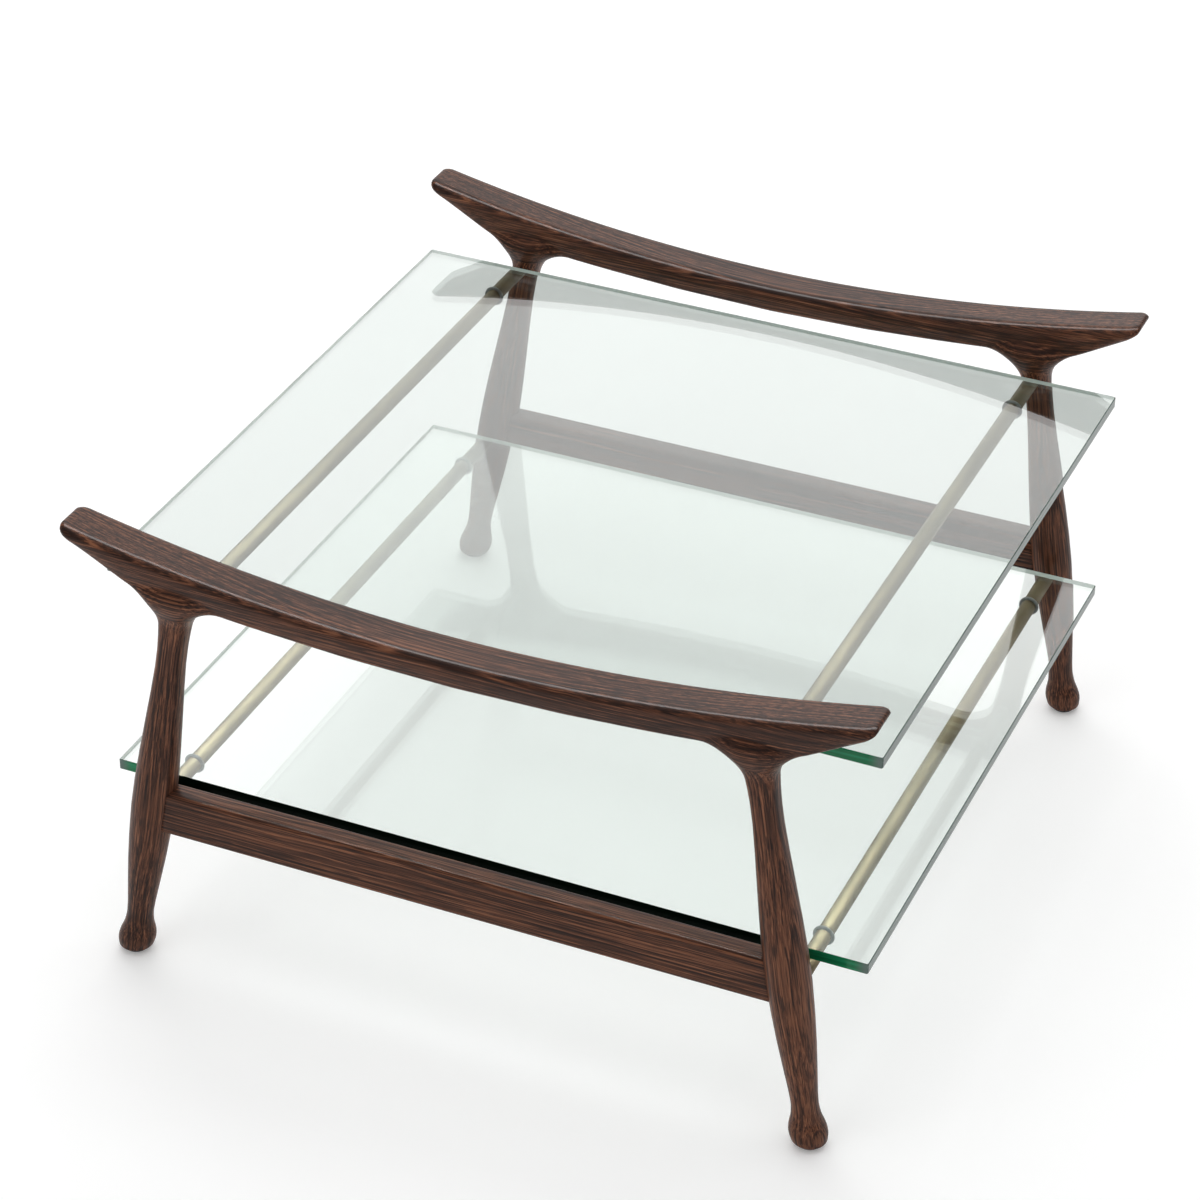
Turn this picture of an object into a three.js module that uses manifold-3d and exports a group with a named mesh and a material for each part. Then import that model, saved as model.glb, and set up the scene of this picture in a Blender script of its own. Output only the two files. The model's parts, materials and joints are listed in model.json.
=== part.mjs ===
// Two-tier coffee table: two shaped wooden side frames, joined by four brass
// crossbars that carry two loose glass plates on rubber rings.
// Millimetres, +Z up. X runs along the rails, Y along the crossbars. The origin
// is on the floor, under the middle of the table.
import * as THREE from 'three';
import { mergeVertices } from 'three/addons/utils/BufferGeometryUtils.js';
import Module from 'manifold-3d';

const wasm = await Module();
wasm.setup();

// ---- Driving dimensions ----------------------------------------------------

const gap = 0.3;            // clearance between pieces that touch
const cutMargin = 5;        // how far a cutting tool runs past the surface it cuts
const frameY = 408;         // from the table's middle to the middle of a side frame

const glassX = 800;
const glassY = 732;
const glassThick = 12;
const glassArris = 0.8;
const upperGlassTop = 431;
const lowerGlassTop = 196;

const ringOuterR = 11;
const ringCordR = 1.4;
const ringY = 320;

const barOuterR = 8;
const barInnerR = 6.5;
const barEndY = 399;        // the crossbar's end, inside the leg's socket

const legFootX = 367.5;     // leg's axis where it meets the floor
const legLean = 0.1627;     // how far the leg's axis leans in per unit of height
const footZ = 4.5;          // underside of the wooden foot
const seamZ = 426;          // joint between leg and rail
const tenonR = 9;
const tenonTopZ = 450;

const railHalfX = 412;
const railWidth = 50;
const railTopZ = 461;       // top of the rail at mid span
const railArcR = 1920;      // its top follows an arc of this radius
const railBand = 11;        // height of the upright front band under the top face

const stretcherBottomZ = 163;
const stretcherTopZ = 212;
const stretcherThick = 25;
const stretcherRound = 4;
const mortiseThick = 14;
const mortiseHigh = 34;
const mortiseToAxis = 8.5;  // the tenon's end stops this far short of the leg's axis

const glideR = 12;

// ---- Materials -------------------------------------------------------------

const finish = (color, roughness, metalness, extra = {}) =>
  new THREE.MeshStandardMaterial({ color, roughness, metalness, ...extra });

const railWood = finish(0x5a3a2e, 0.38, 0);
const legWood = finish(0x543528, 0.4, 0);
const stretcherWood = finish(0x4d3227, 0.42, 0);
const brass = finish(0xa88b52, 0.35, 1);
const steel = finish(0x9a9a9c, 0.4, 1);
const clearRubber = finish(0xa9aca6, 0.5, 0, { transparent: true, opacity: 0.7 });
const greenGlass = finish(0xdcebe4, 0.05, 0, { transparent: true, opacity: 0.35 });
const blackPlastic = finish(0x1c1c1d, 0.5, 0);

// ---- Solids ----------------------------------------------------------------

function volumeOf(geometry) {
  const position = geometry.getAttribute('position');
  const corner = [new THREE.Vector3(), new THREE.Vector3(), new THREE.Vector3()];
  let volume = 0;
  for (let i = 0; i < geometry.index.count; i += 3) {
    corner.forEach((c, k) => c.fromBufferAttribute(position, geometry.index.getX(i + k)));
    volume += corner[0].dot(corner[1].clone().cross(corner[2])) / 6;
  }
  return volume;
}

// A closed three.js geometry as a solid, with its faces turned outwards.
function solid(geometry) {
  geometry.deleteAttribute('normal');
  geometry.deleteAttribute('uv');
  const merged = mergeVertices(geometry, 1e-4);
  const triVerts = Uint32Array.from(merged.index.array);
  if (volumeOf(merged) < 0) triVerts.reverse();
  const vertProperties = Float32Array.from(merged.getAttribute('position').array);
  return new wasm.Manifold(new wasm.Mesh({ numProp: 3, vertProperties, triVerts }));
}

function geometryOf(body) {
  const mesh = body.getMesh();
  const geometry = new THREE.BufferGeometry();
  geometry.setAttribute('position', new THREE.BufferAttribute(mesh.vertProperties, 3));
  geometry.setIndex(new THREE.BufferAttribute(mesh.triVerts, 1));
  return geometry;
}

const points = (pairs) => pairs.map(([r, z]) => new THREE.Vector2(r, z));

// A turned solid: its profile lists [radius, height], and it stands along +Z.
function turned(profile, sides = 24) {
  return new THREE.LatheGeometry(points(profile), sides).rotateX(Math.PI / 2);
}

// A plain round bar from one height to another, standing along +Z.
const rod = (radius, low, high, sides = 24) =>
  turned([[0, low], [radius, low], [radius, high], [0, high]], sides);

// A round bar or ring lying along Y, as a profile of [radius, y].
const turnedAlongY = (profile, sides = 20) => new THREE.LatheGeometry(points(profile), sides);

const rodAlongY = (radius, low, high, sides = 20) =>
  turnedAlongY([[0, low], [radius, low], [radius, high], [0, high]], sides);

const block = (sizeX, sizeY, sizeZ, x, y, z) =>
  new THREE.BoxGeometry(sizeX, sizeY, sizeZ).translate(x, y, z);

// Lean a standing turned solid over the leg's axis, level sections staying level.
function leaned(geometry, sideX) {
  const shear = new THREE.Matrix4().makeShear(0, 0, 0, 0, -sideX * legLean, 0);
  return geometry.applyMatrix4(shear).translate(sideX * legFootX, 0, 0);
}

const legX = (z) => legFootX - legLean * z;
const legSides = 20;

// Straight-line reading of a table of [input, output] pairs.
function read(table, input) {
  const next = table.findIndex(([at]) => at >= input);
  if (next <= 0) return table[Math.max(next, 0)][1];
  const [fromAt, fromValue] = table[next - 1];
  const [toAt, toValue] = table[next];
  return THREE.MathUtils.mapLinear(input, fromAt, toAt, fromValue, toValue);
}

// ---- Side frames -----------------------------------------------------------

// Radius of the leg at each height, from the foot's flat to the rail.
const legProfile = [
  [14, footZ], [17.8, 8], [19.7, 14], [18.4, 23], [15, 33], [13.4, 46], [14.2, 62],
  [16.5, 88], [19, 118], [21, 152], [22.2, 188], [21.8, 222], [20.4, 256], [18.2, 290],
  [15.6, 328], [13.9, 362], [13.5, 390], [14.6, 408], [16.4, 418], [19, seamZ],
];

const tenonProfile = [[tenonR, seamZ], [tenonR, tenonTopZ - 2], [tenonR - 2, tenonTopZ], [0, tenonTopZ]];

const upperBarZ = upperGlassTop - glassThick - gap - ringOuterR;
const lowerBarZ = lowerGlassTop - glassThick - gap - ringOuterR;
const spigotR = 4;
const spigotEndY = 417;
const nailTopZ = 22;

function leg(sideX) {
  let body = solid(leaned(turned([[0, footZ], ...legProfile, ...tenonProfile], legSides), sideX));
  for (const barZ of [upperBarZ, lowerBarZ]) {
    const x = sideX * legX(barZ);
    const socket = rodAlongY(barOuterR + gap, 0, barEndY + gap).translate(x, -frameY, barZ);
    const hole = rodAlongY(spigotR + gap, 0, spigotEndY + gap, 12).translate(x, -frameY, barZ);
    body = body.subtract(solid(socket)).subtract(solid(hole));
  }
  const nailHole = rod(1.4 + gap, footZ - cutMargin, nailTopZ + gap, 8);
  nailHole.translate(sideX * legX(footZ), 0, 0);
  return body.subtract(solid(nailHole)).subtract(solid(stretcherTenon(sideX, gap)));
}

function stretcherTenon(sideX, play) {
  const middleZ = (stretcherBottomZ + stretcherTopZ) / 2;
  const rootX = legX(middleZ) - 30;
  const tipX = legX(middleZ) - mortiseToAxis + play;
  return block(tipX - rootX, mortiseThick + 2 * play, mortiseHigh + 2 * play,
    sideX * (rootX + tipX) / 2, 0, middleZ);
}

function stretcher() {
  const half = { y: stretcherThick / 2, z: (stretcherTopZ - stretcherBottomZ) / 2 };
  const section = new THREE.Shape();
  const r = stretcherRound;
  section.moveTo(-half.y + r, -half.z);
  section.absarc(half.y - r, -half.z + r, r, -Math.PI / 2, 0);
  section.absarc(half.y - r, half.z - r, r, 0, Math.PI / 2);
  section.absarc(-half.y + r, half.z - r, r, Math.PI / 2, Math.PI);
  section.absarc(-half.y + r, -half.z + r, r, Math.PI, 1.5 * Math.PI);
  const length = 2 * legX(stretcherBottomZ);
  const bar = new THREE.ExtrudeGeometry(section, { depth: length, curveSegments: 3, bevelEnabled: false });
  bar.translate(0, 0, -length / 2).rotateX(Math.PI / 2).rotateZ(Math.PI / 2);
  bar.translate(0, 0, stretcherBottomZ + half.z);
  let body = solid(bar);
  for (const sideX of [-1, 1]) {
    const grown = legProfile.map(([radius, z]) => [radius + gap, z]);
    const coping = leaned(turned([[0, footZ], ...grown, [0, seamZ]], legSides), sideX);
    const beyond = block(100, 100, 100, sideX * (legX(stretcherBottomZ) + 50), 0, stretcherTopZ - half.z);
    body = body.subtract(solid(coping)).subtract(solid(beyond));
  }
  return body.add(solid(stretcherTenon(-1, 0))).add(solid(stretcherTenon(1, 0)));
}

// The rail's underside at each distance from mid span, away from its bosses.
const railUnderside = [
  [0, 429], [110, 431.5], [190, 436.5], [250, 441], [318, 441], [345, 453], [375, 471], [railHalfX, 493],
];
// Half width of the rail's lowest face at the same distances.
const railKeel = [[0, 17], [230, 17], [300, 15], [350, 17], [railHalfX, 20]];

const railTop = (x) => railTopZ + (x * x) / (2 * railArcR);

// The rail is a hull swept along X. Each corner of its section is coded as
// (side, level), and the level says which curve along the rail the corner follows.
function railHull() {
  const levels = [
    (x) => [railWidth / 2 - 3, railTop(x)],
    (x) => [railWidth / 2, railTop(x) - 3],
    (x) => [railWidth / 2, railTop(x) - railBand],
    (x) => [read(railKeel, Math.abs(x)) + 3, read(railUnderside, Math.abs(x)) + 3],
    (x) => [read(railKeel, Math.abs(x)), read(railUnderside, Math.abs(x))],
  ];
  const spread = [1, 2, 2.5, 2, 1];
  const oneSide = spread.map((reach, level) => [reach, level]);
  const otherSide = oneSide.map(([reach, level]) => [-reach, level]).reverse();
  const coded = new THREE.Shape(points([...oneSide, ...otherSide]));
  const hull = new THREE.ExtrudeGeometry(coded, { depth: 1, steps: 36, bevelEnabled: false });
  const position = hull.getAttribute('position');
  for (let i = 0; i < position.count; i++) {
    const side = Math.sign(position.getX(i));
    const x = railHalfX * (2 * position.getZ(i) - 1);
    const [halfWidth, z] = levels[Math.round(position.getY(i))](x);
    position.setXYZ(i, x, side * halfWidth, z);
  }
  return hull;
}

const bossProfile = [[0, seamZ + gap], [19, seamZ + gap], [21, 431], [22, 438], [22, 446], [0, 446]];

function rail() {
  let body = solid(railHull());
  for (const sideX of [-1, 1]) {
    body = body.add(solid(leaned(turned(bossProfile, legSides), sideX)));
  }
  for (const sideX of [-1, 1]) {
    const mortise = leaned(rod(tenonR + gap, seamZ - cutMargin, tenonTopZ + gap, 24), sideX);
    body = body.subtract(solid(mortise));
  }
  return body;
}

// ---- Crossbars and what is in their ends -----------------------------------

const plugOuterR = 6.1;
const plugLength = 20;
const plugInset = 1;
const grubR = 1.8;
const grubY = barEndY - plugInset - plugLength / 2;

function grubHole(sideY) {
  return solid(rod(grubR + gap, -barOuterR - cutMargin, 0, 8).translate(0, sideY * grubY, 0));
}

function crossbar() {
  const profile = [
    [barInnerR, -barEndY], [barOuterR, -barEndY], [barOuterR, barEndY], [barInnerR, barEndY],
    [barInnerR, -barEndY],
  ];
  return solid(turnedAlongY(profile)).subtract(grubHole(-1)).subtract(grubHole(1));
}

function endPlug(sideY) {
  const near = barEndY - plugInset - plugLength;
  const far = barEndY - plugInset;
  const bore = spigotR + gap;
  const profile = [[bore, near], [plugOuterR, near], [plugOuterR, far], [bore, far], [bore, near]];
  const plug = turnedAlongY(profile, 16);
  if (sideY < 0) plug.rotateZ(Math.PI);
  return solid(plug).subtract(grubHole(sideY));
}

function spigot(sideY) {
  const inner = barEndY - plugInset - plugLength + 1;
  const bar = rodAlongY(spigotR, inner, spigotEndY, 12);
  return solid(sideY < 0 ? bar.rotateZ(Math.PI) : bar);
}

const grubScrew = (sideY) =>
  solid(rod(grubR, -barOuterR + 0.4, -spigotR - gap, 8).translate(0, sideY * grubY, 0));

function supportRing() {
  const middle = ringOuterR - ringCordR;
  const profile = [];
  const corners = 6;
  for (let i = 0; i < corners; i++) {
    const angle = (i / corners) * 2 * Math.PI;
    profile.push([middle + ringCordR * Math.cos(angle), ringCordR * Math.sin(angle)]);
  }
  return solid(turnedAlongY([...profile, profile[0]], 20));
}

// ---- Glass and glides ------------------------------------------------------

function glassPlate(topZ) {
  const outline = new THREE.Shape();
  const halfX = glassX / 2 - glassArris;
  const halfY = glassY / 2 - glassArris;
  outline.moveTo(-halfX, -halfY).lineTo(halfX, -halfY).lineTo(halfX, halfY).lineTo(-halfX, halfY);
  const plate = new THREE.ExtrudeGeometry(outline, {
    depth: glassThick - 2 * glassArris,
    bevelThickness: glassArris,
    bevelSize: glassArris,
    bevelSegments: 1,
  });
  return solid(plate.translate(0, 0, topZ - glassThick + glassArris));
}

const nailHead = { r: 3.6, low: 0.6, high: 1.8 };
const nailShankR = 1.3;

function glide() {
  const bore = nailShankR + gap;
  const recess = nailHead.r + gap;
  const recessTop = nailHead.high + gap;
  const top = footZ - gap;
  return solid(turned([
    [recess, 0], [glideR - 1, 0], [glideR, 1], [glideR, top], [bore, top], [bore, recessTop],
    [recess, recessTop], [recess, 0],
  ], 20));
}

const glideNail = () =>
  solid(turned([
    [0, nailHead.low], [nailHead.r, nailHead.low], [nailHead.r, nailHead.high],
    [nailShankR, nailHead.high], [nailShankR, nailTopZ - 3], [0, nailTopZ],
  ], 8));

// ---- Assembly --------------------------------------------------------------

const table = new THREE.Group();

function place(parent, name, body, material, x = 0, y = 0, z = 0) {
  const mesh = new THREE.Mesh(geometryOf(body), material);
  mesh.name = name;
  mesh.position.set(x, y, z);
  parent.add(mesh);
}

for (const [depth, sideY] of [['near', -1], ['far', 1]]) {
  const sideFrame = new THREE.Group();
  sideFrame.position.set(0, sideY * frameY, 0);
  sideFrame.rotation.z = sideY > 0 ? 0 : Math.PI;
  place(sideFrame, `${depth}_rail`, rail(), railWood);
  place(sideFrame, `${depth}_stretcher`, stretcher(), stretcherWood);
  for (const [width, sideX] of [['left', -1], ['right', 1]]) {
    const turnedX = sideX * sideY;
    place(sideFrame, `${depth}_${width}_leg`, leg(turnedX), legWood);
    const footX = turnedX * legX(footZ);
    place(sideFrame, `glide_${depth}_${width}`, glide(), blackPlastic, footX);
    place(sideFrame, `glide_nail_${depth}_${width}`, glideNail(), steel, footX);
  }
  table.add(sideFrame);
}

for (const [level, barZ] of [['upper', upperBarZ], ['lower', lowerBarZ]]) {
  for (const [width, sideX] of [['left', -1], ['right', 1]]) {
    const crossbarGroup = new THREE.Group();
    crossbarGroup.position.set(sideX * legX(barZ), 0, barZ);
    place(crossbarGroup, `${level}_${width}_crossbar`, crossbar(), brass);
    for (const [depth, sideY] of [['near', -1], ['far', 1]]) {
      const where = `${level}_${width}_${depth}`;
      place(crossbarGroup, `ring_${where}`, supportRing(), clearRubber, 0, sideY * ringY);
      place(crossbarGroup, `end_plug_${where}`, endPlug(sideY), steel);
      place(crossbarGroup, `spigot_${where}`, spigot(sideY), steel);
      place(crossbarGroup, `grub_screw_${where}`, grubScrew(sideY), steel);
    }
    table.add(crossbarGroup);
  }
}

place(table, 'upper_glass', glassPlate(upperGlassTop), greenGlass);
place(table, 'lower_glass', glassPlate(lowerGlassTop), greenGlass);

export default table;
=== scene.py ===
"""A two-tier glass coffee table: carved wooden side frames, brass crossbars and two loose glass plates."""

import json
import math

import bmesh
import bpy
import numpy as np
from mathutils import Matrix, Vector


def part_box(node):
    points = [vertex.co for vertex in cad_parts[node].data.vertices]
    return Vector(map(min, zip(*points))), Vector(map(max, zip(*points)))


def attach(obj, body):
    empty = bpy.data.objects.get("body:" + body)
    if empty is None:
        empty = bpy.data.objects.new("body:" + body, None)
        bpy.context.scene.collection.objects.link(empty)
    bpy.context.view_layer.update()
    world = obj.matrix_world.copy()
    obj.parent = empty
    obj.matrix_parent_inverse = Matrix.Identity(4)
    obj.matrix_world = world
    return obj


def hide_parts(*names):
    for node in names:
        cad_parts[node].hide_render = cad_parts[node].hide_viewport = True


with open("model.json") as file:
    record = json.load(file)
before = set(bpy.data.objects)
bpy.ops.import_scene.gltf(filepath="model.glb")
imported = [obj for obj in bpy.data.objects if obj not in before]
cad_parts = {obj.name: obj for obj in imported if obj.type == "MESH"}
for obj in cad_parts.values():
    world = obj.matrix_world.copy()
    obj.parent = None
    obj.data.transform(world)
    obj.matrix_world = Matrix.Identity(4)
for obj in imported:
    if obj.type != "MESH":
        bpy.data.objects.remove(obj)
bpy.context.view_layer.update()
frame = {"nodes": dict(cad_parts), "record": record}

MM = 0.001

SIDES = {"near": -1, "far": 1}
WIDTHS = {"left": -1, "right": 1}

# ---- Driving dimensions, in millimetres -------------------------------------

FRAME_Y = 408.0

# A rail's top is an arc. Its underside and the half width of its keel are (x, value) points from its middle.
RAIL_HALF_LENGTH = 412.0
RAIL_HALF_WIDTH = 25.0
RAIL_TOP_Z = 461.0
RAIL_ARC_RADIUS = 1920.0
RAIL_UNDERSIDE = [
    (0, 429), (110, 431.5), (190, 436.5), (250, 441), (318, 441), (345, 453), (375, 471), (412, 493),
]
RAIL_KEEL = [(0, 17), (230, 17), (300, 15), (350, 17), (412, 20)]
RAIL_BAND = 11.0
RAIL_BAND_SHARE = 0.75
RAIL_TOP_ARRIS = 9.0
RAIL_SIDE_ARRIS = 3.0
RAIL_KEEL_ARRIS = 4.0

# A rail's end plane leans in by the slant for each millimetre down, so its normal is 1.02 long before it is
# scaled. The end's rounding takes as much off the tip as the ease adds.
RAIL_END_SLANT = 0.22
RAIL_END_NORMAL = 1.02
RAIL_END_ROUND = 14.0
RAIL_END_EASE = 3.4

# A leg's axis leans in towards the top. Its profile is (radius, z) points.
LEG_FOOT_X = 367.5
LEG_LEAN = 0.1627
LEG_PROFILE = [
    (17.8, 8), (19.7, 14), (18.4, 23), (15, 33), (13.4, 46), (14.2, 62), (16.5, 88), (19, 118), (21, 152),
    (22.2, 188), (21.8, 222), (20.4, 256), (18.2, 290), (15.6, 328), (14, 360), (13.9, 382), (14.7, 400),
    (15.9, 415), (17.2, 430), (18.6, 445), (20.2, 460),
]
LEG_FOOT_Z = 4.5
LEG_TOP_Z = 466.0
LEG_FOOT_ROUND = 3.5
LEG_TOP_ROUND = 12.0
NECK_SQUARING = 0.7
NECK_SQUARING_Z = (250, 380)

# The flare between leg and rail: the fillet goes from inner to outer across the leg and fades up the rail.
SEAM_Z = 426.0
INNER_FILLET = 34.0
OUTER_FILLET = 30.0
LEAST_FILLET = 0.5
FILLET_CHANGE_X = (-10, 14)
FILLET_FADE_Z = (4, 26)
FLARE_REACH = 62.0

STRETCHER_HALF_THICKNESS = 12.5
STRETCHER_Z = (163.0, 212.0)
STRETCHER_ARRIS = 5.0
STRETCHER_INTO_LEG = 12.0

PLATE_ARRIS = 0.8
PLATE_CORNER = 2.0

NET_STEP = 1.5
CORNER_STEPS = 6

# ---- Small helpers ----------------------------------------------------------


def blend_step(value, low, high):
    """0 below low, 1 above high, and a smooth ramp between."""
    t = np.clip((value - low) / (high - low), 0, 1)
    return t * t * (3 - 2 * t)


def round_edge(a, b, radius):
    """Where two half spaces meet, their common solid with an edge of this radius."""
    inside = np.minimum(np.maximum(a, b), -radius)
    return inside + np.hypot(np.maximum(a + radius, 0), np.maximum(b + radius, 0))


def round_fillet(a, b, radius):
    """Two solids joined, with a hollow fillet of this radius between them."""
    outside = np.maximum(np.minimum(a, b), radius)
    return outside - np.hypot(np.maximum(radius - a, 0), np.maximum(radius - b, 0))


def smooth_curve(points, low, high, reach):
    """A table of a smoothed curve through the points, as places and values. reach is how far it smooths."""
    at = np.arange(low, high + 1, 1.0)
    places, values = zip(*sorted(points))
    rough = np.interp(at, places, values)
    pad = int(3 * reach)
    weights = np.exp(-0.5 * (np.arange(-pad, pad + 1) / reach) ** 2)
    padded = np.concatenate([np.full(pad, rough[0]), rough, np.full(pad, rough[-1])])
    slope = rough[-1] - rough[-2]
    padded[-pad:] = rough[-1] + slope * np.arange(1, pad + 1)
    return at, np.convolve(padded, weights / weights.sum(), mode="valid")


def new_object(name, vertices, faces, smooth=True):
    mesh = bpy.data.meshes.new(name)
    mesh.from_pydata([tuple(v) for v in vertices], [], [tuple(f) for f in faces])
    mesh.validate()
    mesh.polygons.foreach_set("use_smooth", [smooth] * len(mesh.polygons))
    mesh.update()
    made = bpy.data.objects.new(name, mesh)
    bpy.context.scene.collection.objects.link(made)
    return made


def place(name, mesh, offset, smooth=True):
    """A mesh in millimetres as an object in metres, moved by an offset in millimetres."""
    vertices, faces = mesh
    return new_object(name, (vertices + np.array(offset)) * MM, faces, smooth)


def middle_of(node):
    low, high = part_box(node)
    return np.array((low + high) / 2) / MM


def finish_piece(piece, node, material_slot, *materials):
    """The piece takes the place of a CAD node, rides on its body and gets its materials."""
    for material in materials:
        piece.data.materials.append(material)
    body = next(b for b, members in frame["record"]["behaviour"]["bodies"].items() if node in members)
    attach(piece, body)
    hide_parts(node)


# ---- Carved wooden shapes, as signed distances ------------------------------

UNDERSIDE = smooth_curve(RAIL_UNDERSIDE, 0, 420, 6)
KEEL = smooth_curve(RAIL_KEEL, 0, 420, 12)
LEG_RADIUS = smooth_curve([(z, radius) for radius, z in LEG_PROFILE], 0, 470, 3)


def leg_x(z):
    return LEG_FOOT_X - LEG_LEAN * z


def rail_distance(x, y, z):
    """Signed distance to a rail, with x and y from its middle and x already positive.

    Its sides are an upright band under the top, and below that a facet that runs in to a narrower keel.
    """
    top = RAIL_TOP_Z + x * x / (2 * RAIL_ARC_RADIUS)
    under = np.interp(x, *UNDERSIDE)
    keel = np.interp(x, *KEEL)
    above = (z - top) / np.hypot(1, x / RAIL_ARC_RADIUS)
    slope = np.interp(x + 1, *UNDERSIDE) - np.interp(x - 1, *UNDERSIDE)
    below = (under - z) / np.hypot(1, slope / 2)
    side = np.abs(y) - RAIL_HALF_WIDTH
    band = np.minimum(RAIL_BAND, RAIL_BAND_SHARE * (top - under))
    run = RAIL_HALF_WIDTH - keel
    drop = top - band - under
    facet = (side * drop + (top - band - z) * run) / np.hypot(drop, run)
    end = (x - RAIL_HALF_LENGTH - RAIL_END_EASE + RAIL_END_SLANT * (top - z)) / RAIL_END_NORMAL
    lower = round_edge(round_edge(side, facet, RAIL_SIDE_ARRIS), below, RAIL_KEEL_ARRIS)
    return round_edge(above, round_edge(lower, end, RAIL_END_ROUND), RAIL_TOP_ARRIS)


def leg_distance(x, y, z):
    """Signed distance to an endless leg, with y from its axis and x positive. The neck is a bit squarer."""
    radius = np.interp(z, *LEG_RADIUS)
    power = 2 + NECK_SQUARING * blend_step(z, *NECK_SQUARING_Z)
    dx = np.abs(x - leg_x(z))
    dy = np.abs(y)
    across = (dx**power + dy**power + 1e-9) ** (1 / power) - radius
    slope = (np.interp(z + 1, *LEG_RADIUS) - np.interp(z - 1, *LEG_RADIUS)) / 2
    return across / np.hypot(1, slope)


def leg_solid(x, y, z):
    standing = round_edge(leg_distance(x, y, z), LEG_FOOT_Z - z, LEG_FOOT_ROUND)
    return round_edge(standing, z - LEG_TOP_Z, LEG_TOP_ROUND)


def side_frame(x, y, z):
    """A rail with a leg flowing into it: a wide fillet inside the leg and a tighter one outside it."""
    x = np.abs(x)
    outside = blend_step(x - leg_x(z), *FILLET_CHANGE_X)
    low = 1 - blend_step(z - np.interp(x, *UNDERSIDE), *FILLET_FADE_Z)
    radius = (INNER_FILLET + (OUTER_FILLET - INNER_FILLET) * outside) * low + LEAST_FILLET
    return round_fillet(rail_distance(x, y, z), leg_solid(x, y, z), radius)


def leg_column(x, y, z):
    """The side frame near one leg, ended just over the seam so that the grid holds all of it."""
    near_leg = np.abs(x - leg_x(z)) - FLARE_REACH
    return np.maximum(np.maximum(side_frame(x, y, z), z - (SEAM_Z + 4)), near_leg)


# ---- Signed distances to meshes ---------------------------------------------

CELL_CORNERS = [(i, j, k) for i in (0, 1) for j in (0, 1) for k in (0, 1)]


def at_corner(values, corner):
    """The value at one corner of every cell of a grid."""
    i, j, k = corner
    size_x, size_y, size_z = [n - 1 for n in values.shape]
    return values[i : i + size_x, j : j + size_y, k : k + size_z]


def net_vertices(field, active):
    """For each active cell, the mean of the points where the surface crosses its edges, in grid steps."""
    total = np.zeros((int(active.sum()), 3))
    count = np.zeros(int(active.sum()))
    for start in CELL_CORNERS:
        for axis in range(3):
            if start[axis]:
                continue
            end = tuple(v + (n == axis) for n, v in enumerate(start))
            at_start = at_corner(field, start)[active]
            at_end = at_corner(field, end)[active]
            crossed = (at_start < 0) != (at_end < 0)
            share = np.where(crossed, at_start / np.where(crossed, at_start - at_end, 1), 0)
            point = np.array(start, float)[None, :].repeat(len(at_start), 0)
            point[:, axis] += share
            total[crossed] += point[crossed]
            count[crossed] += 1
    return np.argwhere(active) + total / count[:, None]


def net_faces(inside, active):
    """A four-sided face across each grid edge that the surface crosses, through the four cells round it."""
    index = np.full(active.shape, -1)
    index[active] = np.arange(active.sum())
    faces = []
    for axis in range(3):
        u, v = [n for n in range(3) if n != axis]
        filled = np.moveaxis(inside, (axis, u, v), (0, 1, 2))
        cell = np.moveaxis(index, (axis, u, v), (0, 1, 2))
        before = filled[:-1, 1:-1, 1:-1]
        after = filled[1:, 1:-1, 1:-1]
        n, m, o = np.nonzero(before != after)
        quad = np.stack([cell[n, m, o], cell[n, m + 1, o], cell[n, m + 1, o + 1], cell[n, m, o + 1]], 1)
        outward = before[n, m, o] ^ (axis == 1)
        quad[~outward] = quad[~outward][:, ::-1]
        faces.append(quad)
    return np.concatenate(faces)


def settle(distance, vertices):
    """Moves each vertex onto the surface itself, by a few short steps along the distance's slope."""
    probe = 0.1
    least_steepness = 0.3
    longest_step = 1.0
    for _ in range(4):
        value = distance(*vertices.T)
        slope = np.zeros_like(vertices)
        for axis in range(3):
            ahead = vertices + probe * np.eye(3)[axis]
            behind = vertices - probe * np.eye(3)[axis]
            slope[:, axis] = (distance(*ahead.T) - distance(*behind.T)) / (2 * probe)
        steepness = np.maximum((slope**2).sum(1), least_steepness)
        move = (value / steepness)[:, None] * slope
        vertices = vertices - np.clip(move, -longest_step, longest_step)
    return vertices


def surface_net(distance, low, high):
    """The closed surface where distance is 0: one vertex in each cell of a grid that the surface crosses."""
    axes = [np.arange(a, b + NET_STEP, NET_STEP) for a, b in zip(low, high)]
    field = distance(*np.meshgrid(*axes, indexing="ij"))
    inside = field < 0
    filled = sum(at_corner(inside, corner).astype(np.int8) for corner in CELL_CORNERS)
    active = (filled > 0) & (filled < len(CELL_CORNERS))
    vertices = np.array(low) + net_vertices(field, active) * NET_STEP
    return settle(distance, vertices), net_faces(inside, active)


def cut_at(vertices, faces, height, keep_above):
    """The part of a closed mesh above or below a level plane, closed again."""
    mesh = bmesh.new()
    made = [mesh.verts.new(v) for v in vertices]
    for face in faces:
        mesh.faces.new([made[i] for i in face])
    found = bmesh.ops.bisect_plane(
        mesh,
        geom=mesh.verts[:] + mesh.edges[:] + mesh.faces[:],
        dist=1e-4,
        plane_co=(0, 0, height),
        plane_no=(0, 0, 1),
        clear_inner=keep_above,
        clear_outer=not keep_above,
    )
    rim = [e for e in found["geom_cut"] if isinstance(e, bmesh.types.BMEdge)]
    bmesh.ops.holes_fill(mesh, edges=rim, sides=0)
    bmesh.ops.recalc_face_normals(mesh, faces=mesh.faces[:])
    mesh.verts.index_update()
    vertices = np.array([v.co for v in mesh.verts])
    faces = [[v.index for v in f.verts] for f in mesh.faces]
    mesh.free()
    return vertices, faces


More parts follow.
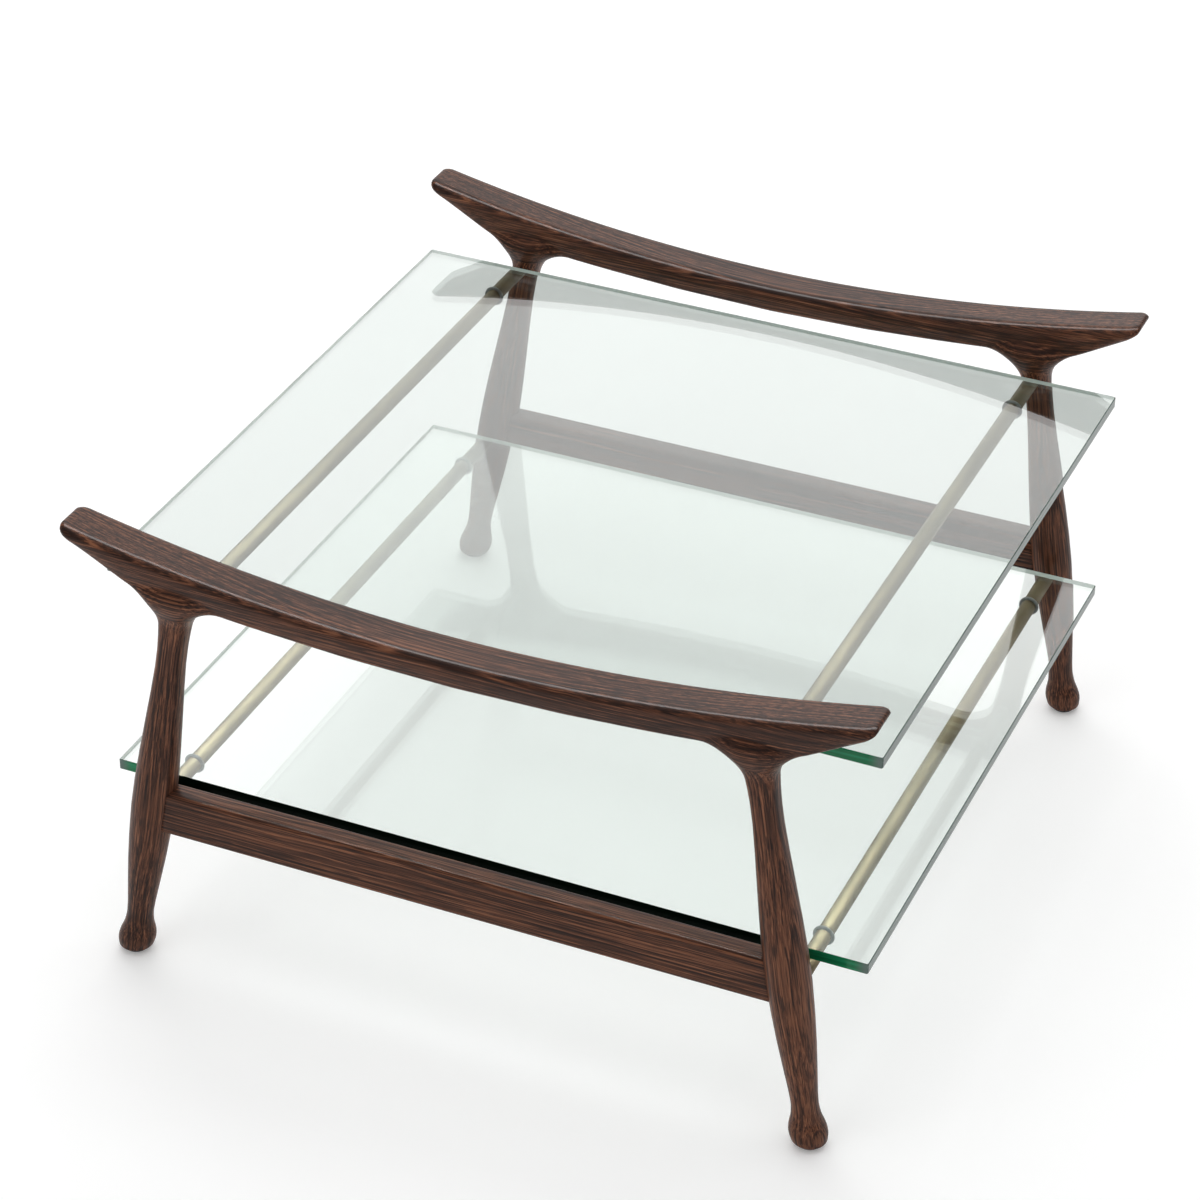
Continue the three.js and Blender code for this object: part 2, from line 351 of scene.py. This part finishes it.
def rail_mesh():
    """The rail with the tops of the flares. The grid reaches past its raised tips."""
    reach_x = RAIL_HALF_LENGTH + 3
    reach_y = RAIL_HALF_WIDTH + 5
    low = (-reach_x, -reach_y, SEAM_Z - 6)
    high = (reach_x, reach_y, RAIL_TOP_Z + 51)
    return cut_at(*surface_net(side_frame, low, high), SEAM_Z, True)


def leg_mesh():
    """The leg on the +X side."""
    reach_y = RAIL_HALF_WIDTH + 5
    low = (leg_x(SEAM_Z + 6) - (FLARE_REACH + 4), -reach_y, 0)
    high = (leg_x(0) + 26, reach_y, SEAM_Z + 8)
    return cut_at(*surface_net(leg_column, low, high), SEAM_Z, False)


def mirrored(mesh):
    vertices, faces = mesh
    return vertices * np.array([-1, 1, 1]), [list(f)[::-1] for f in faces]


# ---- Lofted and turned shapes -----------------------------------------------


def rounded_oblong(half_a, half_b, corner, inset=0.0):
    """The outline of an oblong with rounded corners, drawn in by the inset, as (a, b) points."""
    points = []
    for side_a, side_b, start in [(1, -1, -90), (1, 1, 0), (-1, 1, 90), (-1, -1, 180)]:
        for n in range(CORNER_STEPS + 1):
            turn = math.radians(start + 90 * n / CORNER_STEPS)
            a = side_a * (half_a - corner) + (corner - inset) * math.cos(turn)
            b = side_b * (half_b - corner) + (corner - inset) * math.sin(turn)
            points.append((a, b))
    return points


def lofted(sections):
    """A solid through sections that have equally many points. Its first two faces are its ends."""
    size = len(sections[0])
    last = (len(sections) - 1) * size
    faces = [tuple(range(size))[::-1], tuple(last + n for n in range(size))]
    for start in range(0, last, size):
        for n in range(size):
            m = (n + 1) % size
            faces.append((start + n, start + m, start + size + m, start + size + n))
    return np.array(sum(sections, [])), faces


def stretcher_mesh():
    """A bar between two legs. Each end follows the leg's lean and runs into the leg."""
    low, high = STRETCHER_Z
    outline = rounded_oblong(STRETCHER_HALF_THICKNESS, (high - low) / 2, STRETCHER_ARRIS)
    section = [(y, (low + high) / 2 + z) for y, z in outline]
    stations = 61
    sections = []
    for station in range(stations):
        along = 2 * station / (stations - 1) - 1
        sections.append([(along * (leg_x(z) - STRETCHER_INTO_LEG), y, z) for y, z in section])
    return lofted(sections)


def plate_mesh(node):
    """A plate with eased arrises and slightly rounded corners, as large as its CAD node."""
    low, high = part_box(node)
    half_x, half_y, half_z = [(b - a) / MM / 2 for a, b in zip(low, high)]
    levels = [
        (-half_z, PLATE_ARRIS), (-half_z + PLATE_ARRIS, 0), (half_z - PLATE_ARRIS, 0), (half_z, PLATE_ARRIS),
    ]
    sections = []
    for z, inset in levels:
        outline = rounded_oblong(half_x, half_y, PLATE_CORNER, inset)
        sections.append([(x, y, z) for x, y in outline])
    return lofted(sections)


def turned(profile, sides, axis="Z"):
    """A ring turned about Z or Y from (radius, height) points in order round its section."""
    vertices = []
    for radius, height in profile:
        for n in range(sides):
            turn = 2 * math.pi * n / sides
            vertices.append((radius * math.cos(turn), radius * math.sin(turn), height))
    faces = []
    for i in range(len(profile)):
        low = i * sides
        high = (i + 1) % len(profile) * sides
        for n in range(sides):
            m = (n + 1) % sides
            faces.append((low + n, low + m, high + m, high + n))
    vertices = np.array(vertices, float)
    if axis == "Y":
        vertices = vertices[:, [0, 2, 1]]
        faces = [f[::-1] for f in faces]
    return vertices, faces


def arc(centre_r, centre_z, radius, start, end, steps):
    """Points on an arc of a profile, with angles in degrees."""
    turns = [math.radians(start + (end - start) * n / steps) for n in range(steps + 1)]
    return [(centre_r + radius * math.cos(t), centre_z + radius * math.sin(t)) for t in turns]


def tube_mesh(node):
    """A tube along Y as long as the CAD node, with eased rims."""
    low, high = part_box(node)
    half = (high.y - low.y) / 2 / MM
    outer, inner, outer_ease, inner_ease = 8.0, 6.5, 0.5, 0.2
    profile = [
        (inner, -half + inner_ease), (inner + inner_ease, -half), (outer - outer_ease, -half),
        (outer, -half + outer_ease), (outer, half - outer_ease), (outer - outer_ease, half),
        (inner + inner_ease, half), (inner, half - inner_ease),
    ]
    return turned(profile, 64, "Y")


def ring_mesh():
    """A moulded ring round the bar: a flat band with a rounded outside."""
    half, inner, outer, ease = 1.9, 8.15, 11.0, 0.3
    profile = [(inner, half - ease), (inner, -half + ease), (inner + ease, -half)]
    profile += arc(outer - half, 0, half, -90, 90, 10)
    profile += [(inner + ease, half)]
    return turned(profile, 64, "Y")


def glide_mesh():
    """A moulded glide with a rounded rim and a recess for its nail."""
    height = LEG_FOOT_Z - 0.3
    outer, bore, recess, recess_top = 12.0, 1.6, 3.9, 2.1
    lower_round, upper_round, ease = 1.3, 0.6, 0.3
    profile = [(bore, recess_top), (recess, recess_top), (recess, ease), (recess + ease, 0)]
    profile += arc(outer - lower_round, lower_round, lower_round, -90, 0, 6)
    profile += arc(outer - upper_round, height - upper_round, upper_round, 0, 90, 4)
    profile += [(bore, height)]
    return turned(profile, 48)


# ---- Node helpers -----------------------------------------------------------


def rgba(r, g, b):
    return (r, g, b, 1.0)


def set_inputs(node, **inputs):
    """Links each input that is given a socket and sets the others. n0, n1 and so on are inputs by place."""
    for name, value in inputs.items():
        by_place = name[0] == "n" and name[1:].isdigit()
        socket = node.inputs[int(name[1:]) if by_place else name.replace("_", " ")]
        if isinstance(value, bpy.types.NodeSocket):
            node.id_data.links.new(value, socket)
        else:
            socket.default_value = value


def add(tree, kind, settings=None, **inputs):
    """A new node with its settings and its inputs."""
    made = tree.nodes.new(kind)
    for name, value in (settings or {}).items():
        setattr(made, name, value)
    set_inputs(made, **inputs)
    return made


def maths(tree, operation, a, b=0.0):
    return add(tree, "ShaderNodeMath", {"operation": operation}, n0=a, n1=b).outputs[0]


def plus(tree, a, b):
    return maths(tree, "ADD", a, b)


def times(tree, a, b):
    return maths(tree, "MULTIPLY", a, b)


def vector_maths(tree, operation, a, b):
    return add(tree, "ShaderNodeVectorMath", {"operation": operation}, n0=a, n1=b).outputs[0]


def parts_of(tree, vector):
    """The three parts of a vector."""
    return add(tree, "ShaderNodeSeparateXYZ", Vector=vector).outputs


def mixed(tree, share, a, b):
    return add(tree, "ShaderNodeMix", {"data_type": "RGBA"}, n0=share, n6=a, n7=b).outputs[2]


def spread(tree, value, low, high, to_low=0.0, to_high=1.0):
    """A smooth ramp of a value from low to high onto another range."""
    made = add(
        tree, "ShaderNodeMapRange", {"interpolation_type": "SMOOTHSTEP"},
        n0=value, n1=low, n2=high, n3=to_low, n4=to_high,
    )
    return made.outputs[0]


def mottled(tree, pattern, low, high):
    """A colour between low and high that follows a noise pattern."""
    return mixed(tree, spread(tree, pattern, 0.35, 0.65), low, high)


def noise(tree, vector, scales, detail, roughness=0.5, output="Fac"):
    """Noise with its own scale, in waves per metre, along each axis."""
    scaled = vector_maths(tree, "MULTIPLY", vector, scales)
    made = add(tree, "ShaderNodeTexNoise", Vector=scaled, Scale=1.0, Detail=detail, Roughness=roughness)
    return made.outputs[output]


def bumped(tree, height, strength, distance):
    return add(tree, "ShaderNodeBump", Strength=strength, Distance=distance, Height=height).outputs[0]


def three_tones(tree, value, low, middle, high, middle_at):
    """A colour that goes from low over middle to high."""
    ramp = add(tree, "ShaderNodeValToRGB", Fac=value)
    stops = ramp.color_ramp.elements
    stops[0].color = low
    stops[1].color = high
    stops.new(middle_at).color = middle
    return ramp.outputs["Color"]


def material(name):
    """A new material with its node tree, its shader and the socket of the object's own coordinates."""
    made = bpy.data.materials.new(name)
    made.use_nodes = True
    tree = made.node_tree
    position = add(tree, "ShaderNodeTexCoord").outputs["Object"]
    return made, tree, tree.nodes["Principled BSDF"], position


# ---- Materials --------------------------------------------------------------

WOOD_DARK = rgba(0.020, 0.0078, 0.0048)
WOOD_MIDDLE = rgba(0.118, 0.044, 0.0230)
WOOD_LIGHT = rgba(0.282, 0.112, 0.056)
WOOD_LATE = rgba(0.032, 0.014, 0.010)
WOOD_SPECK = rgba(0.05, 0.026, 0.019)
WOOD_PORE = rgba(0.012, 0.007, 0.006)
SEED_STEP = 3.7
RING_WAVES = 380.0
RINGS_PER_WAVE = 0.6


def ring_age(tree, local, pith, tilt, start):
    """How far from the heart of the tree each point lies, with a slow wander, in waves of the ring noise."""
    wander = noise(tree, local, (3.0, 16.0, 16.0), 2.0, output="Color")
    centred = vector_maths(tree, "SUBTRACT", wander, (0.5, 0.5, 0.5))
    pushed = vector_maths(tree, "MULTIPLY", centred, (0, 0.022, 0.022))
    parts = parts_of(tree, vector_maths(tree, "ADD", local, pushed))
    run = maths(tree, "SUBTRACT", parts[0], start)
    across = plus(tree, times(tree, run, tilt), plus(tree, parts[1], pith[0]))
    deep = plus(tree, parts[2], pith[1])
    squared = plus(tree, times(tree, across, across), times(tree, deep, deep))
    return times(tree, maths(tree, "SQRT", squared), RING_WAVES)


def wood(name, origin, turn, pith, tilt, seed, depth=0.0):
    """Lacquered dark walnut.

    turn brings the grain onto X. pith is the way from the heart of the tree to the piece's middle in metres,
    and tilt is the lean of the grain from the piece's length. depth darkens the wood: painted shade.
    """
    made, tree, shader, position = material(name)
    start = seed * SEED_STEP
    shift = -(Matrix.Rotation(turn, 3, "Y") @ Vector(origin)) + Vector((start, 0, 0))
    mapping = add(tree, "ShaderNodeMapping", Vector=position, Location=tuple(shift), Rotation=(0, turn, 0))
    local = mapping.outputs[0]

    age = ring_age(tree, local, pith, tilt, start)
    rings = add(
        tree, "ShaderNodeTexNoise", {"noise_dimensions": "1D"}, W=age, Scale=1.0, Detail=3.0, Roughness=0.55
    ).outputs["Fac"]
    late = spread(tree, maths(tree, "FRACT", times(tree, age, RINGS_PER_WAVE)), 0.55, 0.98)
    patches = noise(tree, local, (5.0, 28.0, 28.0), 3.0)
    fibres = noise(tree, local, (8.0, 700.0, 700.0), 4.0, 0.75)
    specks = noise(tree, local, (60.0, 1500.0, 1500.0), 1.0)
    pores = spread(tree, noise(tree, local, (24.0, 820.0, 820.0), 0.0), 0.58, 0.68)

    tone = plus(tree, times(tree, rings, 0.42), times(tree, patches, 0.20))
    tone = plus(tree, tone, times(tree, fibres, 0.62))
    # depth moves the tone darker: painted shade.
    tone = spread(tree, tone, 0.49 + depth, 0.78 + depth)
    colour = three_tones(tree, tone, WOOD_DARK, WOOD_MIDDLE, WOOD_LIGHT, 0.45)
    colour = mixed(tree, times(tree, late, 0.38), colour, WOOD_LATE)
    colour = mixed(tree, spread(tree, specks, 0.35, 0.65, 0.0, 0.30), colour, WOOD_SPECK)
    colour = mixed(tree, times(tree, pores, 0.72), colour, WOOD_PORE)
    grain = maths(tree, "SUBTRACT", fibres, times(tree, pores, 0.8))
    set_inputs(
        shader,
        Base_Color=colour,
        Roughness=spread(tree, fibres, 0.3, 0.7, 0.50, 0.38),
        Normal=bumped(tree, grain, 0.15, 0.0002),
        Specular_IOR_Level=0.05,
        Coat_Weight=0.20,
        Coat_Roughness=0.17,
    )
    return made


def brass():
    """Lightly aged brass, brushed along the bar."""
    made, tree, shader, position = material("brushed_brass")
    brushed = noise(tree, position, (2200.0, 30.0, 2200.0), 2.0)
    clouds = noise(tree, position, (40.0, 9.0, 40.0), 3.0)
    shade = plus(tree, times(tree, clouds, 0.7), times(tree, brushed, 0.3))
    set_inputs(
        shader,
        Base_Color=mottled(tree, shade, rgba(0.105, 0.086, 0.054), rgba(0.170, 0.140, 0.088)),
        Roughness=spread(tree, brushed, 0.3, 0.7, 0.46, 0.58),
        Normal=bumped(tree, brushed, 0.12, 0.0001),
        Metallic=1.0,
    )
    return made


def clear_glass(level, index, low_tint, high_tint):
    """A plate's faces: clear, faintly green float glass that lets lamps and bounced light through."""
    made, tree, shader, position = material(f"float_glass_{level}")
    cloud = noise(tree, position, (2.0, 2.0, 2.0), 1.0)
    set_inputs(
        shader, Base_Color=mixed(tree, cloud, low_tint, high_tint), Roughness=0.0, IOR=index,
        Transmission_Weight=1.0,
    )
    through = add(tree, "ShaderNodeBsdfTransparent", Color=rgba(0.955, 0.965, 0.960)).outputs[0]
    path = add(tree, "ShaderNodeLightPath").outputs
    surface = shader.outputs[0]
    for ray in ("Is Shadow Ray", "Is Diffuse Ray"):
        surface = add(tree, "ShaderNodeMixShader", n0=path[ray], n1=surface, n2=through).outputs[0]
    set_inputs(tree.nodes["Material Output"], Surface=surface)
    return made


def glass_edge():
    """A plate's polished edges: deep green along the front and back, grey-green at the sides and corners.

    The lower plate's long edges are painted black between the legs: painted shade where they face the dark
    wood.
    """
    made, tree, shader, position = material("float_glass_edge")
    parts = parts_of(tree, position)
    geometry = add(tree, "ShaderNodeNewGeometry").outputs
    facing = parts_of(tree, geometry["True Normal"])
    sideways = spread(tree, maths(tree, "ABSOLUTE", facing[0]), 0.45, 0.75)
    corner = spread(tree, maths(tree, "ABSOLUTE", parts[0]), 0.384, 0.399)
    from_left_leg = spread(tree, parts[0], -0.375, -0.365)
    to_right_leg = spread(tree, parts[0], 0.28, 0.395, 1.0, 0.0)
    lower_plate = spread(tree, parts[2], 0.25, 0.35, 1.0, 0.0)
    # painted_shade marks the lower plate's long edges between the legs, which are painted black as painted
    # shade.
    painted_shade = times(tree, times(tree, from_left_leg, to_right_leg), lower_plate)
    streaks = noise(tree, position, (9.0, 9.0, 420.0), 3.0)
    green = mottled(tree, streaks, rgba(0.004, 0.155, 0.058), rgba(0.009, 0.250, 0.105))
    grey = mottled(tree, streaks, rgba(0.050, 0.084, 0.070), rgba(0.110, 0.155, 0.135))
    colour = mixed(tree, corner, green, rgba(0.12, 0.17, 0.15))
    # Painted shade: near-black between the legs, for the shade of the dark wood that the edges face.
    colour = mixed(tree, painted_shade, colour, rgba(0.0005, 0.004, 0.002))
    colour = mixed(tree, sideways, colour, grey)
    # Seen from inside the plate, the edges are painted pale: painted light standing in for light coming
    # through them.
    colour = mixed(tree, geometry["Backfacing"], colour, rgba(0.60, 0.68, 0.64))
    set_inputs(
        shader,
        Base_Color=colour,
        Roughness=spread(tree, streaks, 0.3, 0.7, 0.05, 0.14),
        # Where the shade is painted, the gloss is turned down so that the painted black stays dark.
        Specular_IOR_Level=spread(tree, painted_shade, 0.0, 1.0, 0.25, 0.02),
        IOR=1.52,
    )
    return made


def clear_rubber():
    made, tree, shader, position = material("clear_rubber")
    cloud = noise(tree, position, (300.0, 300.0, 300.0), 3.0)
    set_inputs(
        shader,
        Base_Color=mottled(tree, cloud, rgba(0.13, 0.148, 0.146), rgba(0.22, 0.245, 0.24)),
        Roughness=spread(tree, cloud, 0.3, 0.7, 0.28, 0.42),
        Normal=bumped(tree, cloud, 0.1, 0.0001),
        IOR=1.45,
        Transmission_Weight=0.55,
    )
    return made


def plastic():
    made, tree, shader, position = material("glide_plastic")
    pits = noise(tree, position, (1600.0, 1600.0, 1600.0), 2.0)
    scuffs = noise(tree, position, (120.0, 900.0, 120.0), 3.0)
    worn = spread(tree, scuffs, 0.45, 0.75)
    set_inputs(
        shader,
        Base_Color=mixed(tree, worn, rgba(0.012, 0.012, 0.013), rgba(0.045, 0.045, 0.048)),
        Roughness=spread(tree, scuffs, 0.3, 0.7, 0.34, 0.52),
        Normal=bumped(tree, pits, 0.25, 0.0001),
    )
    return made


def steel():
    made, tree, shader, position = material("zinc_steel")
    grain = noise(tree, position, (900.0, 900.0, 900.0), 3.0)
    set_inputs(
        shader,
        Base_Color=mottled(tree, grain, rgba(0.42, 0.42, 0.42), rgba(0.60, 0.60, 0.58)),
        Roughness=spread(tree, grain, 0.3, 0.7, 0.28, 0.45),
        Normal=bumped(tree, grain, 0.1, 0.0001),
        Metallic=1.0,
    )
    return made


# ---- Pieces -----------------------------------------------------------------

FIRST_SEEDS = {"near": 3, "far": 8}
RAIL_WOOD_Z = 460.0
STRETCHER_WOOD_Z = 188.0
LEG_WOOD_Z = 190.0


def build_side_frames():
    rail = rail_mesh()
    right_leg = leg_mesh()
    legs = {"left": mirrored(right_leg), "right": right_leg}
    stretcher = stretcher_mesh()
    for depth, side_y in SIDES.items():
        y = side_y * FRAME_Y
        seed = FIRST_SEEDS[depth]
        piece = place(f"carved_rail_{depth}", rail, (0, y, 0))
        middle = (0, y * MM, RAIL_WOOD_Z * MM)
        # The rail's wood is darkened by 0.035: painted shade for its dimly lit faces.
        grain = wood(f"rail_walnut_{depth}", middle, 0.0, (0.065, -0.050), 0.02, seed, 0.035)
        finish_piece(piece, f"{depth}_rail", "rail_wood", grain)

        piece = place(f"stretcher_bar_{depth}", stretcher, (0, y, 0))
        middle = (0, y * MM, STRETCHER_WOOD_Z * MM)
        # The stretcher's wood is darkened by 0.02: painted shade.
        grain = wood(f"stretcher_walnut_{depth}", middle, 0.0, (0.060, 0.085), -0.02, seed + 1, 0.02)
        finish_piece(piece, f"{depth}_stretcher", "stretcher_wood", grain)

        for number, (width, side_x) in enumerate(WIDTHS.items()):
            piece = place(f"turned_leg_{depth}_{width}", legs[width], (0, y, 0))
            middle = (side_x * leg_x(LEG_WOOD_Z) * MM, y * MM, LEG_WOOD_Z * MM)
            upright = math.pi / 2 + side_x * math.atan(LEG_LEAN)
            pith = (0.085, 0.110 * side_x)
            grain = wood(f"leg_walnut_{depth}_{width}", middle, upright, pith, 0.012, seed + 2 + number)
            finish_piece(piece, f"{depth}_{width}_leg", "leg_wood", grain)


def build_crossbars(brass_finish, rubber_finish):
    for level in ("upper", "lower"):
        for width in WIDTHS:
            node = f"{level}_{width}_crossbar"
            piece = place(f"brass_tube_{level}_{width}", tube_mesh(node), middle_of(node))
            finish_piece(piece, node, "brass", brass_finish)
            for depth in SIDES:
                node = f"ring_{level}_{width}_{depth}"
                piece = place(f"rubber_ring_{level}_{width}_{depth}", ring_mesh(), middle_of(node))
                finish_piece(piece, node, "clear_rubber", rubber_finish)


def build_plates(edge_finish):
    face_finishes = {
        "upper": clear_glass("upper", 1.60, rgba(0.568, 0.612, 0.590), rgba(0.588, 0.630, 0.608)),
        "lower": clear_glass("lower", 1.48, rgba(0.830, 0.872, 0.850), rgba(0.850, 0.888, 0.868)),
    }
    for level, face_finish in face_finishes.items():
        node = f"{level}_glass"
        piece = place(f"glass_plate_{level}", plate_mesh(node), middle_of(node), smooth=False)
        finish_piece(piece, node, "glass", face_finish, edge_finish)
        for polygon in piece.data.polygons[2:]:
            polygon.material_index = 1


def build_glides(finish):
    for depth in SIDES:
        for width in WIDTHS:
            node = f"glide_{depth}_{width}"
            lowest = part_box(node)[0].z / MM
            centre = middle_of(node)
            piece = place(f"moulded_{node}", glide_mesh(), (centre[0], centre[1], lowest))
            finish_piece(piece, node, "glide_plastic", finish)


def dress_hidden_parts(steel_finish):
    """The spigots, plugs, grub screws and nails keep their CAD shapes."""
    for name, node in frame["nodes"].items():
        if name.startswith(("end_plug", "spigot", "grub_screw", "glide_nail")):
            node.data.materials.clear()
            node.data.materials.append(steel_finish)


# ---- Studio, in metres ------------------------------------------------------

FLOOR_REACH = 14.0
LAMP_AIM = Vector((0, 0, 0.3))

CAMERA_TARGET = Vector((-0.0324, 0.0, 0.2723))
CAMERA_DISTANCE = 3.7932
CAMERA_AZIMUTH = math.radians(22.705)
CAMERA_ELEVATION = math.radians(32.525)
CAMERA_ROLL = math.radians(1.177)
CAMERA_LENS = 109.504


def build_floor():
    corners = [(x * FLOOR_REACH, y * FLOOR_REACH, 0) for x, y in [(-1, -1), (1, -1), (1, 1), (-1, 1)]]
    floor = new_object("floor", corners, [(0, 1, 2, 3)], smooth=False)
    paper = bpy.data.materials.new("pale_floor")
    paper.use_nodes = True
    set_inputs(
        paper.node_tree.nodes["Principled BSDF"],
        Base_Color=rgba(0.90, 0.90, 0.90),
        Roughness=0.9,
        Specular_IOR_Level=0.0,
        Emission_Color=rgba(1, 1, 1),
        Emission_Strength=0.19,
    )
    floor.data.materials.append(paper)


def add_softbox(name, position, width, height, radiance, glints=True, shading=True):
    """A rectangular lamp of one radiance, aimed at the table.

    glints is its mirror image in gloss, and shading is the light that it casts on rough surfaces.
    """
    lamp = bpy.data.lights.new(name, "AREA")
    lamp.shape = "RECTANGLE"
    lamp.size = width
    lamp.size_y = height
    lamp.energy = radiance * math.pi * width * height
    made = bpy.data.objects.new(name, lamp)
    bpy.context.scene.collection.objects.link(made)
    made.location = position
    made.rotation_euler = (LAMP_AIM - Vector(position)).to_track_quat("-Z", "Y").to_euler()
    made.visible_camera = False
    made.visible_glossy = glints
    made.visible_diffuse = shading


def build_lights():
    add_softbox("overhead_strip", (0.0, 0.20, 2.9), 4.2, 1.0, 17.0, shading=False)
    add_softbox("overhead_fill", (0.0, -0.3, 3.2), 3.6, 3.2, 0.95, glints=False)
    add_softbox("front_fill", (-1.6, -3.6, 2.4), 3.0, 2.4, 1.1, glints=False)
    add_softbox("back_panel", (-1.75, 4.2, 3.5), 6.0, 5.0, 1.55)


def build_world():
    """A white room that is brighter behind the table than in front of it."""
    world = bpy.data.worlds.new("studio")
    bpy.context.scene.world = world
    world.use_nodes = True
    tree = world.node_tree
    parts = parts_of(tree, add(tree, "ShaderNodeTexCoord").outputs["Generated"])
    glow = spread(tree, parts[1], -0.5, 0.7, 0.32, 0.74)
    set_inputs(tree.nodes["Background"], Color=rgba(1, 1, 1), Strength=glow)


def build_camera():
    data = bpy.data.cameras.new("camera")
    data.sensor_width = 36.0
    data.lens = CAMERA_LENS
    data.clip_end = 100
    camera = bpy.data.objects.new("camera", data)
    bpy.context.scene.collection.objects.link(camera)
    level_reach = math.cos(CAMERA_ELEVATION)
    back = Vector(
        (
            math.sin(CAMERA_AZIMUTH) * level_reach,
            -math.cos(CAMERA_AZIMUTH) * level_reach,
            math.sin(CAMERA_ELEVATION),
        )
    )
    right = Vector((0, 0, 1)).cross(back).normalized()
    up = back.cross(right)
    rolled_right = right * math.cos(CAMERA_ROLL) + up * math.sin(CAMERA_ROLL)
    rolled_up = up * math.cos(CAMERA_ROLL) - right * math.sin(CAMERA_ROLL)
    turn = Matrix((rolled_right, rolled_up, back)).transposed()
    camera.matrix_world = Matrix.Translation(CAMERA_TARGET + back * CAMERA_DISTANCE) @ turn.to_4x4()
    bpy.context.scene.camera = camera


build_side_frames()
build_crossbars(brass(), clear_rubber())
build_plates(glass_edge())
build_glides(plastic())
dress_hidden_parts(steel())
build_floor()
build_lights()
build_world()
build_camera()
bpy.context.scene.view_settings.view_transform = "Standard"
